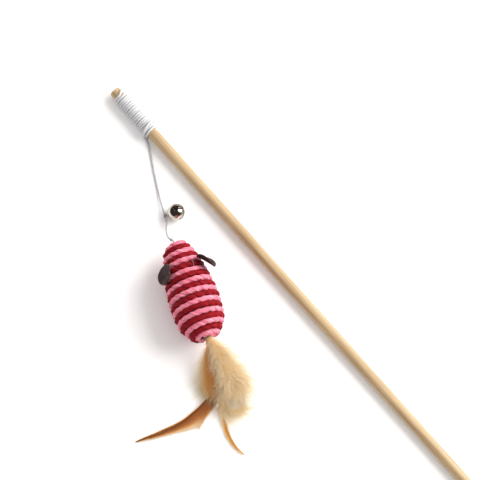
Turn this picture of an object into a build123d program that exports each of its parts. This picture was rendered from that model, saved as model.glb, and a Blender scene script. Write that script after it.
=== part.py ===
from build123d import *
import os
from math import acos, asin, atan2, ceil, cos, degrees, pi, radians, sin, sqrt, tan

# Cat teaser wand lying on a table. Millimetres, +Z up.
# Origin: centre of the butt end of the stick. +X runs along the stick to its tip,
# and the lure lies on the +Y side.

# ---------------------------------------------------------------- driving sizes

# stick
dowel_diameter = 8.0
dowel_length = 400.0
dowel_edge = 0.5            # softened rims at both ends
seat_depth = 0.2            # shallow turned seat that keeps the winding from slipping
tip_bare = 5.6              # bare wood left between the winding and the tip

# cord
cord_diameter = 1.4
winding_pitch = 1.84
winding_turns = 18.25
winding_end_angle = -15.0   # where the last turn leaves the stick, up from the lure's side
wrap_clearance = 0.05       # between a wound cord and what it is wound on
knot_diameter = 2.0
knot_angle = -40.0          # the hitch sits low on the lure's side of the stick
knot_clearance = 0.35
joint_gap = 0.3             # between pieces that move against each other
floor_gap = 0.1             # the free cord lies this far above the table

# bell
bell_diameter = 12.2
bell_wall = 0.5
bell_slit = 1.1
bell_slit_end = 1.8         # round hole that ends each slit
bell_slit_level = 1.6       # the holes' middles are this far from the bell's equator
bell_heading = 68.0         # direction from the bell to its ring, in plan
ring_wire = 0.8
ring_hole = 2.6
ring_lean = 0.3             # the cord lies this far out from the ring's centre
ring_clearance = 0.1
stem_diameter = 1.0
stem_head_diameter = 1.9
stem_head_height = 0.5
pellet_diameter = 3.0
pellet_clearance = 0.1
bell_knot_diameter = 2.6
bell_knot_length = 1.7

# lure body
lure_heading = 156.9        # direction of the tail end in plan
lure_pitch = 3.0            # the nose lies a little lower than the tail
twine_diameter = 3.7
twine_lead = 8.2            # one turn of both colours
twine_turns = 9.45
twine_inset = 1.3           # where the first turn starts along the outline
twine_start_angle = -50.0
twine_slant = 1.3           # the wound-on turns are squarer to the axis above than below
twine_clearance = 0.12      # between the twine and the core
ear_diameter = 15.5
ear_thickness = 1.3
staple_wire = 0.45
staple_turn = 2             # the red turn that the staple straddles
staple_angle = 65.0
staple_depth = 0.8

# tail
plug_diameter = 6.4
plug_depth = 12.0
plug_clearance = 0.1
plug_proud = 2.4            # the plug stands out of the core's tail face
quill_diameter = 1.2
quill_gap = 0.6

# ---------------------------------------------------------------- the stick

dowel_radius = dowel_diameter / 2
cord_radius = cord_diameter / 2
table_z = -dowel_radius
seat_radius = dowel_radius - seat_depth
wind_radius = seat_radius + wrap_clearance + cord_radius
winding_start_x = dowel_length - tip_bare - cord_radius
winding_end_x = winding_start_x - winding_pitch * winding_turns

# The butt's rim and the last turn of the winding both touch the table,
# so the stick rises a little towards its tip.
wand_tilt = atan2(wind_radius + cord_radius - dowel_radius, winding_end_x)
wand = Plane(
    origin=(0, 0, 0),
    x_dir=(cos(wand_tilt), 0, sin(wand_tilt)),
    z_dir=(-sin(wand_tilt), 0, cos(wand_tilt)),
)


def on_wand(along, radius, angle):
    # a point beside the stick: angle 0 is the lure's side, 90 is on top
    turn = radians(angle)
    return wand.from_local_coords(Vector(along, radius * cos(turn), radius * sin(turn)))


def wand_section(along):
    return Plane(origin=on_wand(along, 0, 0), x_dir=wand.y_dir, z_dir=wand.x_dir)


with BuildPart() as wand_dowel:
    with BuildSketch(wand_section(0)):
        Circle(dowel_radius)
    extrude(amount=dowel_length)
    chamfer(wand_dowel.edges().filter_by(GeomType.CIRCLE), dowel_edge)
    seat_start = winding_end_x - cord_diameter * 2
    with BuildSketch(wand_section(seat_start)):
        Circle(dowel_radius)
        Circle(seat_radius, mode=Mode.SUBTRACT)
    extrude(amount=dowel_length - tip_bare - seat_start, mode=Mode.SUBTRACT)
wand_dowel.part.label = "wand_dowel"
export_step(wand_dowel.part, "parts/wand_dowel.step")

# ---------------------------------------------------------------- wound tubes


def heading_of(place, at):
    # the direction in which a winding runs
    step = 0.001
    return (place(at + step) - place(at - step)).normalized()


def draw_biarc(start, start_dir, end, end_dir):
    # two arcs that meet smoothly and leave both ends in the given directions
    across = end - start
    both = start_dir + end_dir
    bend = 2 * (1 - start_dir.dot(end_dir))
    reach = (sqrt(across.dot(both) ** 2 + bend * across.dot(across)) - across.dot(both)) / bend
    meet = (start + end + (start_dir - end_dir) * reach) * 0.5
    meet_dir = (end - end_dir * reach) - (start + start_dir * reach)
    TangentArc(start, meet, tangent=start_dir)
    TangentArc(meet, end, tangent=meet_dir.normalized())


def draw_winding(place, turns, run_out):
    # place(t) is the point t turns along; both ends run straight for run_out
    steps = ceil(turns * 4)
    stops = [turns * i / steps for i in range(steps + 1)]
    points = [place(t) for t in stops]
    headings = [heading_of(place, t) for t in stops]
    Line(points[0] - headings[0] * run_out, points[0])
    for i in range(steps):
        draw_biarc(points[i], headings[i], points[i + 1], headings[i + 1])
    Line(points[-1], points[-1] + headings[-1] * run_out)


def least_gap(place, turns, diameter):
    # the least clear space between two turns of the same tube
    per_turn = 48
    count = ceil(turns * per_turn)
    points = [place(turns * i / count) for i in range(count + 1)]
    return min(
        (points[i] - points[j]).length
        for i in range(0, count + 1, 2)
        for j in range(i + per_turn // 2, min(i + 2 * per_turn, count + 1))
    ) - diameter


def start_plane(line):
    return Plane(origin=line @ 0, z_dir=line % 0)


def tip_wrap(t):
    return on_wand(
        winding_start_x - winding_pitch * t,
        wind_radius,
        winding_end_angle + 360 * (winding_turns - t),
    )


with BuildPart() as tip_winding:
    with BuildLine() as tip_path:
        draw_winding(tip_wrap, winding_turns, cord_diameter)
    with BuildSketch(start_plane(tip_path.line)):
        Circle(cord_radius)
    sweep(path=tip_path.line)
tip_winding.part.label = "tip_winding"
export_step(tip_winding.part, "parts/tip_winding.step")
print("tip winding: turns", winding_turns, "least gap", round(least_gap(tip_wrap, winding_turns, cord_diameter), 3))

knot_radius = knot_diameter / 2
hitch = on_wand(
    winding_end_x,
    wind_radius + cord_radius + knot_clearance + knot_radius,
    knot_angle,
)
with BuildPart() as hitch_knot:
    with Locations(hitch):
        Sphere(knot_radius)
hitch_knot.part.label = "hitch_knot"
export_step(hitch_knot.part, "parts/hitch_knot.step")

# ---------------------------------------------------------------- the lure's frame and outline

# Outline of the lure as the middle of its twine: distance from the nose, distance from the axis.
outline_points = [
    (2.0, 4.0),
    (5.2, 6.6),
    (13.3, 10.2),
    (30.4, 14.2),
    (44.0, 16.0),
    (58.7, 15.6),
    (66.8, 14.0),
    (73.4, 9.6),
    (75.3, 6.4),
]
with BuildLine() as outline:
    Spline(*outline_points)
outline_edge = outline.edge()
outline_length = outline_edge.length
twine_radius = twine_diameter / 2
widest = max(y for x, y in outline_points)


def on_outline(along):
    # the outline's point, and the way that faces out of the lure there
    share = min(max(along / outline_length, 0.0), 1.0)
    point = outline_edge.position_at(share)
    run = outline_edge.tangent_at(share)
    return point, Vector(-run.Y, run.X)


# The lowest turn of the twine touches the table when the nose is at this height.
heading = radians(lure_heading)
pitch = radians(lure_pitch)
samples = [on_outline(outline_length * i / 60) for i in range(61)]
lowest = max((p.Y + n.Y * twine_radius) * cos(pitch) - (p.X + n.X * twine_radius) * sin(pitch) for p, n in samples)
nose_x = 287.5
nose_y = 41.1
nose = Vector(nose_x, nose_y, table_z + lowest)
lure = Plane(
    origin=nose,
    x_dir=(cos(heading) * cos(pitch), sin(heading) * cos(pitch), sin(pitch)),
    z_dir=(-cos(heading) * sin(pitch), -sin(heading) * sin(pitch), cos(pitch)),
)


def on_lure(along, side, up):
    # along runs from nose to tail, side is towards the stick
    return lure.from_local_coords(Vector(along, side, up))


def around_lure(along, radius, angle):
    return on_lure(along, radius * cos(radians(angle)), radius * sin(radians(angle)))


lure_profile = Plane(origin=nose, x_dir=lure.x_dir, z_dir=-lure.y_dir)
lure_axis = Axis(nose, lure.x_dir)

# ---------------------------------------------------------------- the lure's core

core_stations = 9
core_rim = [
    p - n * (twine_radius + twine_clearance)
    for p, n in (on_outline(outline_length * i / core_stations) for i in range(core_stations + 1))
]
core_nose = core_rim[0].X
core_tail = core_rim[-1].X
anchor_depth = 12.0         # the cord is knotted inside the core, this far in
anchor_diameter = 4.4
anchor_clearance = 0.3
bore_clearance = 0.2
with BuildPart() as lure_core:
    with BuildSketch(lure_profile):
        with BuildLine():
            Spline(*[(p.X, p.Y) for p in core_rim])
            Polyline(
                (core_rim[-1].X, core_rim[-1].Y),
                (core_tail, 0),
                (core_nose, 0),
                (core_rim[0].X, core_rim[0].Y),
            )
        make_face()
    revolve(axis=lure_axis)
    with BuildSketch(Plane(origin=on_lure(core_tail, 0, 0), z_dir=lure.x_dir)):
        Circle(plug_diameter / 2 + plug_clearance)
    extrude(amount=-plug_depth - plug_clearance, mode=Mode.SUBTRACT)
    with BuildSketch(Plane(origin=on_lure(core_nose, 0, 0), z_dir=lure.x_dir)):
        Circle(cord_radius + bore_clearance)
    extrude(amount=anchor_depth, mode=Mode.SUBTRACT)
    with BuildSketch(lure_profile):
        with Locations((core_nose + anchor_depth, 0)):
            Circle(anchor_diameter / 2 + anchor_clearance)
        Rectangle(dowel_length, dowel_length, align=(Align.CENTER, Align.MAX), mode=Mode.SUBTRACT)
    revolve(axis=lure_axis, mode=Mode.SUBTRACT)
lure_core.part.label = "lure_core"
export_step(lure_core.part, "parts/lure_core.step")

# ---------------------------------------------------------------- the two wound twines


def twine_wrap(offset, t):
    # each turn crosses the top nearly square to the axis and moves on underneath
    angle = twine_start_angle + 360 * t
    plain = twine_inset + offset + twine_lead * t
    lean = twine_slant * on_outline(plain)[0].Y / widest
    point = on_outline(plain + lean * cos(radians(angle)))[0]
    return around_lure(point.X, point.Y, angle)


def pink_wrap(t):
    return twine_wrap(0, t)


def red_wrap(t):
    return twine_wrap(twine_lead / 2, t)


with BuildPart() as pink_twine:
    with BuildLine() as pink_path:
        draw_winding(pink_wrap, twine_turns, 0.5)
    with BuildSketch(start_plane(pink_path.line)):
        Circle(twine_radius)
    sweep(path=pink_path.line)
pink_twine.part.label = "pink_twine"
export_step(pink_twine.part, "parts/pink_twine.step")
print("pink twine: turns", twine_turns, "least gap", round(least_gap(pink_wrap, twine_turns, twine_diameter), 3))

red_turns = twine_turns - 0.6
with BuildPart() as red_twine:
    with BuildLine() as red_path:
        draw_winding(red_wrap, red_turns, 0.5)
    with BuildSketch(start_plane(red_path.line)):
        Circle(twine_radius)
    sweep(path=red_path.line)
red_twine.part.label = "red_twine"
export_step(red_twine.part, "parts/red_twine.step")
print("red twine: turns", red_turns, "least gap", round(least_gap(red_wrap, red_turns, twine_diameter), 3))

# ---------------------------------------------------------------- the cord into the nose

# The lure turns on the cord about this point, under the nose and on its far side.
pivot_in_lure = (-1.6, -1.5, -6.0)
pivot = on_lure(*pivot_in_lure)
anchor = on_lure(core_nose + anchor_depth, 0, 0)
bore_start = on_lure(core_nose, 0, 0)
above_pivot = Vector(pivot.X, pivot.Y, bore_start.Z)
anchor_side = on_lure(core_nose + anchor_depth - anchor_diameter / 2 - wrap_clearance, 0, 0)
with BuildPart() as nose_cord:
    with BuildLine() as nose_path:
        FilletPolyline(pivot, above_pivot, bore_start, anchor_side, radius=[1.9, 4.2])
    with BuildSketch(start_plane(nose_path.line)):
        Circle(cord_radius)
    sweep(path=nose_path.line)
    with Locations(pivot):
        Sphere(cord_radius)
nose_cord.part.label = "nose_cord"
export_step(nose_cord.part, "parts/nose_cord.step")

with BuildPart() as stopper_knot:
    with Locations(anchor):
        Sphere(anchor_diameter / 2)
stopper_knot.part.label = "stopper_knot"
export_step(stopper_knot.part, "parts/stopper_knot.step")

# ---------------------------------------------------------------- the free cord

cord_floor = table_z + cord_radius + floor_gap
cord_bends = [
    Vector(352.8, 7.9, cord_floor),
    Vector(339.8, 15.7, cord_floor),
    Vector(325.4, 23.5, cord_floor),
    Vector(311.4, 30.9, -1.3),
    Vector(303.8, 33.7, -1.0),
    Vector(298.9, 38.8, -1.2),
    Vector(293.3, 41.7, 1.8),
]
first_dir = (cord_bends[0] - hitch).normalized()
last_dir = (pivot - cord_bends[-1]).normalized()
cord_start = hitch + first_dir * (knot_radius + joint_gap)
cord_end = pivot - last_dir * (cord_radius + joint_gap)
cord_points = [cord_start] + cord_bends + [cord_end]


def bend_radii(points, share=0.45):
    # the widest round bend that leaves a straight piece between two bends
    radii = []
    for before, corner, after in zip(points, points[1:], points[2:]):
        run_in = corner - before
        run_out = after - corner
        turn = acos(run_in.normalized().dot(run_out.normalized()))
        radii.append(share * min(run_in.length, run_out.length) / tan(turn / 2))
    return radii


cord_radii = bend_radii(cord_points)
with BuildPart() as free_cord:
    with BuildLine() as cord_path:
        FilletPolyline(*cord_points, radius=cord_radii)
    with BuildSketch(start_plane(cord_path.line)):
        Circle(cord_radius)
    sweep(path=cord_path.line)
free_cord.part.label = "free_cord"
export_step(free_cord.part, "parts/free_cord.step")
cord_length = sum(edge.length for edge in cord_path.edges())
print("free cord: length", round(cord_length, 1), "radii", [round(r, 1) for r in cord_radii])
print("free cord: volume", round(free_cord.part.volume, 2), "expected", round(pi * cord_radius**2 * cord_length, 2))

# ---------------------------------------------------------------- the bell and its knot

ring_place = 0.62           # where along the run between two bends the ring hangs
ring_run_start = cord_bends[3]
ring_run = cord_bends[4] - cord_bends[3]
ring_cord = ring_run_start + ring_run * ring_place
run_dir = ring_run.normalized()
bell_radius = bell_diameter / 2
bell_inner = bell_radius - bell_wall
ring_radius = (ring_hole + ring_wire) / 2
ring_reach = bell_radius + ring_clearance + ring_radius + ring_wire / 2
cord_reach = ring_reach + ring_lean

# The shell stands just clear of the table, so the ring's end is tilted down to the cord.
bell_z = table_z + bell_radius + ring_clearance
bell_drop = asin((bell_z - ring_cord.Z) / cord_reach)
bell_turn = radians(bell_heading)
bell_dir = Vector(cos(bell_turn) * cos(bell_drop), sin(bell_turn) * cos(bell_drop), -sin(bell_drop))
bell_centre = ring_cord - bell_dir * cord_reach
bell_side = run_dir.cross(bell_dir).normalized()
ring_axis = bell_dir.cross(bell_side).normalized()
bell_plane = Plane(origin=bell_centre, x_dir=bell_side, z_dir=bell_dir)

with BuildPart() as bell_shell:
    with Locations(bell_centre):
        Sphere(bell_radius)
        Sphere(bell_inner, mode=Mode.SUBTRACT)
    with BuildSketch(bell_plane):
        Circle(stem_diameter / 2 + ring_clearance)
    extrude(amount=bell_radius, mode=Mode.SUBTRACT)
    with BuildSketch(bell_plane.offset(-bell_slit_level)):
        Rectangle(bell_diameter, bell_slit)
        Rectangle(bell_slit, bell_diameter)
    extrude(amount=-bell_radius, mode=Mode.SUBTRACT)
    hole_spread = sqrt(bell_radius**2 - bell_slit_level**2)
    for side in (Vector(1, 0, 0), Vector(-1, 0, 0), Vector(0, 1, 0), Vector(0, -1, 0)):
        hole_local = side * hole_spread - Vector(0, 0, bell_slit_level)
        hole_middle = bell_plane.from_local_coords(hole_local)
        with BuildSketch(Plane(origin=hole_middle, z_dir=hole_middle - bell_centre)):
            Circle(bell_slit_end / 2)
        extrude(amount=bell_wall * 2, both=True, mode=Mode.SUBTRACT)
bell_shell.part.label = "bell_shell"
export_step(bell_shell.part, "parts/bell_shell.step")

head_top = sqrt(bell_inner**2 - (stem_head_diameter / 2) ** 2) - ring_clearance
with BuildPart() as bell_bail:
    with Locations(Plane(origin=bell_centre + bell_dir * ring_reach, z_dir=ring_axis)):
        Torus(ring_radius, ring_wire / 2)
    with BuildSketch(bell_plane.offset(head_top)):
        Circle(stem_diameter / 2)
    extrude(amount=ring_reach - ring_radius - head_top)
    with BuildSketch(bell_plane.offset(head_top)):
        Circle(stem_head_diameter / 2)
    extrude(amount=-stem_head_height)
bell_bail.part.label = "bell_bail"
export_step(bell_bail.part, "parts/bell_bail.step")

pellet_drop = bell_inner - pellet_diameter / 2 - pellet_clearance
with BuildPart() as bell_pellet:
    with Locations(bell_centre - Vector(0, 0, pellet_drop)):
        Sphere(pellet_diameter / 2)
bell_pellet.part.label = "bell_pellet"
export_step(bell_pellet.part, "parts/bell_pellet.step")

# A knot in the cord keeps the ring from sliding up towards the stick.
knot_back = ring_wire / 2 + joint_gap + 0.1 + bell_knot_length / 2
bell_knot_centre = ring_cord - run_dir * knot_back
with BuildPart() as bell_knot:
    with BuildSketch(Plane(origin=bell_knot_centre, z_dir=run_dir)):
        Circle(bell_knot_diameter / 2)
        Circle(cord_radius + wrap_clearance, mode=Mode.SUBTRACT)
    extrude(amount=bell_knot_length / 2, both=True)
    outer_rims = bell_knot.edges().filter_by(GeomType.CIRCLE).group_by(SortBy.RADIUS)[-1]
    fillet(outer_rims, 0.45)
bell_knot.part.label = "bell_knot"
export_step(bell_knot.part, "parts/bell_knot.step")

# ---------------------------------------------------------------- ears and staple

# Each ear: middle and facing, in the lure's frame. The edge nearest the nose is held.
ear_places = {
    "ear_left": ((25.7, -14.1, 8.9), (-0.27, -0.79, 0.547)),
    "ear_right": ((25.5, 16.1, 11.6), (-0.636, 0.715, 0.29)),
}


def ear_frame(name):
    middle, facing = ear_places[name]
    normal = on_lure(*facing) - nose
    return Plane(origin=on_lure(*middle), z_dir=normal.normalized())


with BuildPart() as ear_left:
    with BuildSketch(ear_frame("ear_left")):
        Circle(ear_diameter / 2)
    extrude(amount=ear_thickness / 2, both=True)
    fillet(ear_left.edges().filter_by(GeomType.CIRCLE), 0.3)
ear_left.part.label = "ear_left"
export_step(ear_left.part, "parts/ear_left.step")

with BuildPart() as ear_right:
    with BuildSketch(ear_frame("ear_right")):
        Circle(ear_diameter / 2)
    extrude(amount=ear_thickness / 2, both=True)
    fillet(ear_right.edges().filter_by(GeomType.CIRCLE), 0.3)
ear_right.part.label = "ear_right"
export_step(ear_right.part, "parts/ear_right.step")


def ear_hinge(name):
    # the edge point nearest the nose, and the line along the edge there
    frame = ear_frame(name)
    to_nose = (lure.x_dir * -1) - frame.z_dir * (lure.x_dir * -1).dot(frame.z_dir)
    edge = frame.origin + to_nose.normalized() * (ear_diameter / 2)
    return edge, frame.z_dir.cross(to_nose.normalized())


staple_t = staple_turn + (staple_angle - twine_start_angle) / 360
staple_centre = red_wrap(staple_t)
staple_run = heading_of(red_wrap, staple_t)
axis_point = nose + lure.x_dir * (staple_centre - nose).dot(lure.x_dir)
staple_up = (staple_centre - axis_point).normalized()
staple_across = staple_run.cross(staple_up).normalized()
crown_height = twine_radius + wrap_clearance + staple_wire / 2
crown_half = twine_radius - wrap_clearance
with BuildPart() as ear_staple:
    with BuildLine() as staple_path:
        FilletPolyline(
            staple_centre + staple_up * (crown_height - staple_depth) - staple_across * crown_half,
            staple_centre + staple_up * crown_height - staple_across * crown_half,
            staple_centre + staple_up * crown_height + staple_across * crown_half,
            staple_centre + staple_up * (crown_height - staple_depth) + staple_across * crown_half,
            radius=0.35,
        )
    with BuildSketch(start_plane(staple_path.line)):
        Circle(staple_wire / 2)
    sweep(path=staple_path.line)
ear_staple.part.label = "ear_staple"
export_step(ear_staple.part, "parts/ear_staple.step")

# ---------------------------------------------------------------- tail plug and feathers

plug_face = core_tail + plug_proud
with BuildPart() as tail_plug:
    with BuildSketch(Plane(origin=on_lure(core_tail - plug_depth, 0, 0), z_dir=lure.x_dir)):
        Circle(plug_diameter / 2)
    extrude(amount=plug_depth + plug_proud)
tail_plug.part.label = "tail_plug"
export_step(tail_plug.part, "parts/tail_plug.step")

# Feathers are drawn as flat lens sections along their shafts:
# middle of the section, half width, half thickness.
quill = quill_diameter / 2
quill_start = plug_face + quill_gap
long_shaft = [
    (on_lure(quill_start, -0.8, 0.2), quill, quill),
    (Vector(209.3, 75.8, 11.0), quill, quill),
    (Vector(200.6, 81.5, 6.5), quill, quill),
    (Vector(191.4, 86.7, 2.2), quill, quill),
    (Vector(187.5, 89.1, 0.4), quill, quill),
]
long_down = [
    (Vector(210.9, 77.0, 11.4), 0.7, 0.3),
    (Vector(206.6, 82.0, 8.4), 4.0, 1.0),
    (Vector(200.0, 87.6, 5.2), 6.0, 1.2),
    (Vector(193.0, 92.0, 2.2), 6.0, 1.0),
    (Vector(186.8, 94.5, 0.0), 2.0, 0.4),
]
long_vane = [
    (Vector(188.6, 87.4, 0.9), 0.8, 0.5),
    (Vector(184.9, 94.2, -1.2), 3.6, 0.6),
    (Vector(182.2, 104.0, -2.2), 6.0, 0.6),
    (Vector(183.2, 115.6, -2.7), 5.4, 0.6),
    (Vector(186.2, 127.9, -3.0), 3.6, 0.5),
    (Vector(190.4, 139.8, -3.2), 2.4, 0.5),
    (Vector(196.5, 153.9, -3.4), 0.6, 0.3),
]
slim_vane = [
    (on_lure(quill_start, 0.6, -1.8), quill, quill),
    (on_lure(quill_start + 3.0, 0.8, -3.2), quill, quill),
    (Vector(208.2, 74.5, 9.4), quill, quill),
    (Vector(197.6, 80.9, 2.2), quill, quill),
    (Vector(185.8, 87.0, -2.3), 1.2, 0.5),
    (Vector(179.6, 91.0, -2.9), 2.0, 0.5),
    (Vector(168.0, 97.6, -3.1), 2.4, 0.5),
    (Vector(156.9, 101.9, -3.1), 2.2, 0.5),
    (Vector(148.0, 102.9, -3.2), 1.8, 0.4),
    (Vector(141.3, 102.3, -3.4), 0.5, 0.3),
]
plume_down = [
    (on_lure(quill_start, 1.4, 1.2), quill, quill),
    (Vector(205.6, 70.0, 12.2), 3.6, 1.8),
    (Vector(194.4, 73.0, 9.0), 7.6, 2.6),
    (Vector(183.0, 77.3, 5.4), 9.4, 2.6),
    (Vector(173.1, 82.2, 2.6), 8.0, 2.0),
    (Vector(165.6, 86.0, 0.6), 2.6, 0.7),
]


def lens_sections(stations):
    # one level-sided plane for each station, square to the way the shaft runs
    middles = [middle for middle, half_width, half_thickness in stations]
    sections = []
    for i, (middle, half_width, half_thickness) in enumerate(stations):
        run = middles[min(i + 1, len(middles) - 1)] - middles[max(i - 1, 0)]
        across = Vector(0, 0, 1).cross(run)
        sections.append((Plane(origin=middle, x_dir=across, z_dir=run), half_width, half_thickness))
    return sections


with BuildPart() as feather_long:
    for section, half_width, half_thickness in lens_sections(long_shaft):
        with BuildSketch(section):
            Circle(half_width)
    loft()
    for section, half_width, half_thickness in lens_sections(long_down):
        with BuildSketch(section):
            Ellipse(half_width, half_thickness)
    loft()
    for section, half_width, half_thickness in lens_sections(long_vane):
        with BuildSketch(section):
            Ellipse(half_width, half_thickness)
    loft()
feather_long.part.label = "feather_long"
export_step(feather_long.part, "parts/feather_long.step")

with BuildPart() as feather_slim:
    for section, half_width, half_thickness in lens_sections(slim_vane):
        with BuildSketch(section):
            Ellipse(half_width + 0.01, half_thickness)
    loft()
feather_slim.part.label = "feather_slim"
export_step(feather_slim.part, "parts/feather_slim.step")

with BuildPart() as down_plume:
    for section, half_width, half_thickness in lens_sections(plume_down):
        with BuildSketch(section):
            Ellipse(half_width + 0.01, half_thickness)
    loft()
down_plume.part.label = "down_plume"
export_step(down_plume.part, "parts/down_plume.step")

# ---------------------------------------------------------------- places for the record


def show(name, *vectors):
    print(name, [[round(v.X, 3), round(v.Y, 3), round(v.Z, 3)] for v in vectors])


show("grip end, axis", on_wand(0.5, 0, 0), wand.x_dir * -1)
print("grip wall", round(seat_start - dowel_edge, 3))
show("hitch, first run", hitch, first_dir)
show("pivot", pivot)
show("ring cord, run", ring_cord, run_dir)
show("bell centre, direction", bell_centre, bell_dir)
show("ear left hinge", *ear_hinge("ear_left"))
show("ear right hinge", *ear_hinge("ear_right"))
show("tail hinge", on_lure(plug_face, 0, 0))
show("nose, axis, side, up", nose, lure.x_dir, lure.y_dir, lure.z_dir)
print("staple along the lure", round((staple_centre - nose).dot(lure.x_dir), 2))
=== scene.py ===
import bpy
import math
from functools import partial
from mathutils import Matrix, Vector


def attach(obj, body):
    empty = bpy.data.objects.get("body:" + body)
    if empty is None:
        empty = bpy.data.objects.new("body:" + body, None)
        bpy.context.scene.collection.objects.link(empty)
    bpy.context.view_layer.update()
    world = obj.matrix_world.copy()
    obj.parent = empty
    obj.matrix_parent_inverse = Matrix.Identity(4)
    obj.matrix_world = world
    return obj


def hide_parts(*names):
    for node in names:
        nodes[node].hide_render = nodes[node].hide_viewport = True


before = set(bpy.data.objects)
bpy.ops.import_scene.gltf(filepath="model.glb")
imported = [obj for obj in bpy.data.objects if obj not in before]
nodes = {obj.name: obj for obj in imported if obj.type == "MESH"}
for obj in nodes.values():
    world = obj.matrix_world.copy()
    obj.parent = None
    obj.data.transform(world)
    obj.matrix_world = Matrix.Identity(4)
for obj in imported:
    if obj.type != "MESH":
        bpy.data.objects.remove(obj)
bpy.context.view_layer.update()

# Cat teaser wand: a beech stick, a white cord with a small bell, and a lure wound with
# pink and dark red twine, with leather ears and a tail of feathers.
# The frame is the CAD's: +X along the stick, the lure on the +Y side. The scene is in metres,
# and the settings are in millimetres and degrees where nothing else is said.

bpy.context.scene.view_settings.view_transform = "Standard"  # whites burn out as they do in the picture
mm = 0.001
worldUp = Vector((0, 0, 1))


def hexColour(text):
    # an sRGB hex colour as linear red, green, blue, alpha
    channels = [int(text[i:i + 2], 16) / 255 for i in (0, 2, 4)]
    return (*[c / 12.92 if c <= 0.04045 else ((c + 0.055) / 1.055) ** 2.4 for c in channels], 1.0)


def feed(node, feeds):
    # gives each socket, by name or in order, a value or the node or socket that drives it
    if not isinstance(feeds, dict):
        feeds = dict(enumerate(feeds))
    for place, value in feeds.items():
        if isinstance(value, bpy.types.Node):
            value = value.outputs[0]
        if isinstance(value, bpy.types.NodeSocket):
            node.id_data.links.new(value, node.inputs[place])
        else:
            node.inputs[place].default_value = value


def addNode(tree, kind, feeds=(), operation=None, **settings):
    node = tree.nodes.new(kind)
    if operation:
        node.operation = operation
    for name, value in settings.items():
        setattr(node, name, value)
    feed(node, feeds)
    return node


def newObject(name, data):
    made = bpy.data.objects.new(name, data)
    bpy.context.scene.collection.objects.link(made)
    return made


def newMaterial(name, surface):
    # a material with the plain numbers of its shader set, ready for the nodes that add puts in
    material = bpy.data.materials.new(name)
    material.use_nodes = True
    tree = material.node_tree
    tree.nodes.clear()
    shader = addNode(tree, "ShaderNodeBsdfPrincipled", surface)
    addNode(tree, "ShaderNodeOutputMaterial", {"Surface": shader})
    return material, shader, partial(addNode, tree)


def setStops(ramp, stops):
    # stops are (place, hex colour) from low to high
    elements = ramp.color_ramp.elements
    while len(elements) < len(stops):
        elements.new(0.5)
    for element, (place, colour) in zip(elements, stops):
        element.position = place
        element.color = hexColour(colour)
    return ramp


def paint(piece, material):
    piece.data.materials.clear()
    piece.data.materials.append(material)


def dressNode(name, material):
    # gives a CAD node its finish
    for place in nodes[name].material_slots:
        place.material = material


def giveTo(piece, body, slot, *hidden):
    # puts the piece on the body it rides on and hides the CAD nodes it stands for; slot is not used
    if hidden:
        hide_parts(*hidden)
    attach(piece, body)


# The picture was taken from nearly overhead, with the stick running off at the lower right.
cameraView = {
    "target": (0.2595, 0.0043, 0.0),     # the point in the middle of the picture, in metres
    "right": (-0.65337, -0.75704, 0.0),  # the picture's right, along the table
    "elevation": 74.0,
    "distance": 3.2,
    "width": 0.336,                      # what the picture spans at the target
    "sensor": 36.0,
    "farthest": 20.0,
}


def makeCamera(view):
    right = Vector(view["right"]).normalized()
    ahead = worldUp.cross(right)
    lift = math.radians(view["elevation"])
    back = -ahead * math.cos(lift) + worldUp * math.sin(lift)
    data = bpy.data.cameras.new("tableCamera")
    camera = newObject("tableCamera", data)
    turn = Matrix((right, back.cross(right), back)).transposed()
    spot = Vector(view["target"]) + back * view["distance"]
    camera.matrix_world = Matrix.LocRotScale(spot, turn.to_quaternion(), None)
    data.sensor_width = view["sensor"]
    data.lens = data.sensor_width * view["distance"] / view["width"]
    data.clip_end = view["farthest"]
    bpy.context.scene.camera = camera
    return right, ahead


viewRight, viewAhead = makeCamera(cameraView)

# the lamp's place, its size and the floor's reach are in metres
lighting = {
    "key": {"right": 1.2, "ahead": 0.5, "up": 0.9, "size": 1.6, "power": 42.0, "colour": "FFFDFA"},
    "sky": 0.74,
    "skyColour": "FFFDFC",
    "roomHigh": 0.045,   # how bright the room looks in polished metal, overhead
    "roomLow": 1.1,      # and near the table
    "roomTurn": 0.16,    # how high above the table the one ends and the other starts
    "roomColour": "EBDDD2",
    "floorLevel": -4.0,
    "floorReach": 3,
    "floor": "FFFFFF",
}


def makeLamp(name, lamp):
    middle = Vector(cameraView["target"])
    spot = middle + viewRight * lamp["right"] + viewAhead * lamp["ahead"] + Vector((0, 0, lamp["up"]))
    data = bpy.data.lights.new(name, "AREA")
    data.shape = "DISK"
    data.size = lamp["size"]
    data.energy = lamp["power"]
    data.color = hexColour(lamp["colour"])[:3]
    light = newObject(name, data)
    light.location = spot
    light.rotation_euler = (middle - spot).to_track_quat("-Z", "Y").to_euler()


def makeRoom():
    # an even white sky for light, which polished metal sees as a dark room with a bright horizon
    world = bpy.data.worlds.new("softRoom")
    bpy.context.scene.world = world
    world.use_nodes = True
    world.node_tree.nodes.clear()
    add = partial(addNode, world.node_tree)
    sky = add("ShaderNodeBackground", [hexColour(lighting["skyColour"]), lighting["sky"]])
    place = add("ShaderNodeTexCoord").outputs["Generated"]
    height = add("ShaderNodeSeparateXYZ", [place]).outputs["Z"]
    dim = add("ShaderNodeMapRange", [height, 0.0, lighting["roomTurn"], lighting["roomLow"],
                                     lighting["roomHigh"]])
    room = add("ShaderNodeBackground", [hexColour(lighting["roomColour"]), dim])
    ray = add("ShaderNodeLightPath").outputs["Is Glossy Ray"]
    mix = add("ShaderNodeMixShader", [ray, sky, room])
    add("ShaderNodeOutputWorld", {"Surface": mix})


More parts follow.
